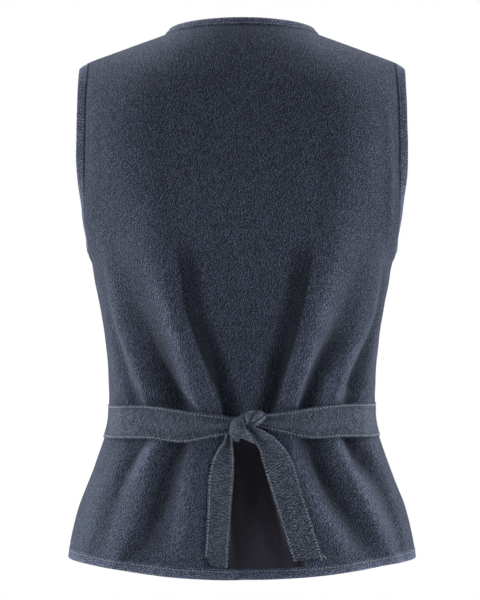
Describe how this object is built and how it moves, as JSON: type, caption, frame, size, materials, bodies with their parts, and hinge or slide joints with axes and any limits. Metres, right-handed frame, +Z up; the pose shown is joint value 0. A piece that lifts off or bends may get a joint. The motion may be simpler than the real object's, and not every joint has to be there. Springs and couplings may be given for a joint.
{
  "type": "vest",
  "caption": "Sleeveless fitted denim vest in its worn shape, with bound neck and armholes, a buttoned front and a belt tied in a half knot at the centre back.",
  "frame": {"origin": "midway between the two shoulder seams, where the vest hangs on its wearer", "axes": "+X to the wearer's right, +Y the way the wearer faces, +Z up; the tied back faces -Y"},
  "size_m": [0.3662, 0.2483, 0.5697],
  "materials": {
    "denim": "matt heathered twill",
    "band": "matt twill, sewn bands",
    "belt": "matt twill, topstitched",
    "button": "satin resin"
  },
  "bodies": {
    "root": {"back": "denim", "front_left": "denim", "front_right": "denim", "neck_band": "band", "armhole_band_left": "band", "armhole_band_right": "band", "hem_band": "band", "tie_left": "belt", "tie_right": "belt", "tie_end_left": "belt", "tie_end_right": "belt", "knot_wrap": "belt", "knot_core": "belt", "button_1": "button", "button_2": "button", "button_3": "button", "button_4": "button", "button_5": "button"}
  },
  "joints": []
}
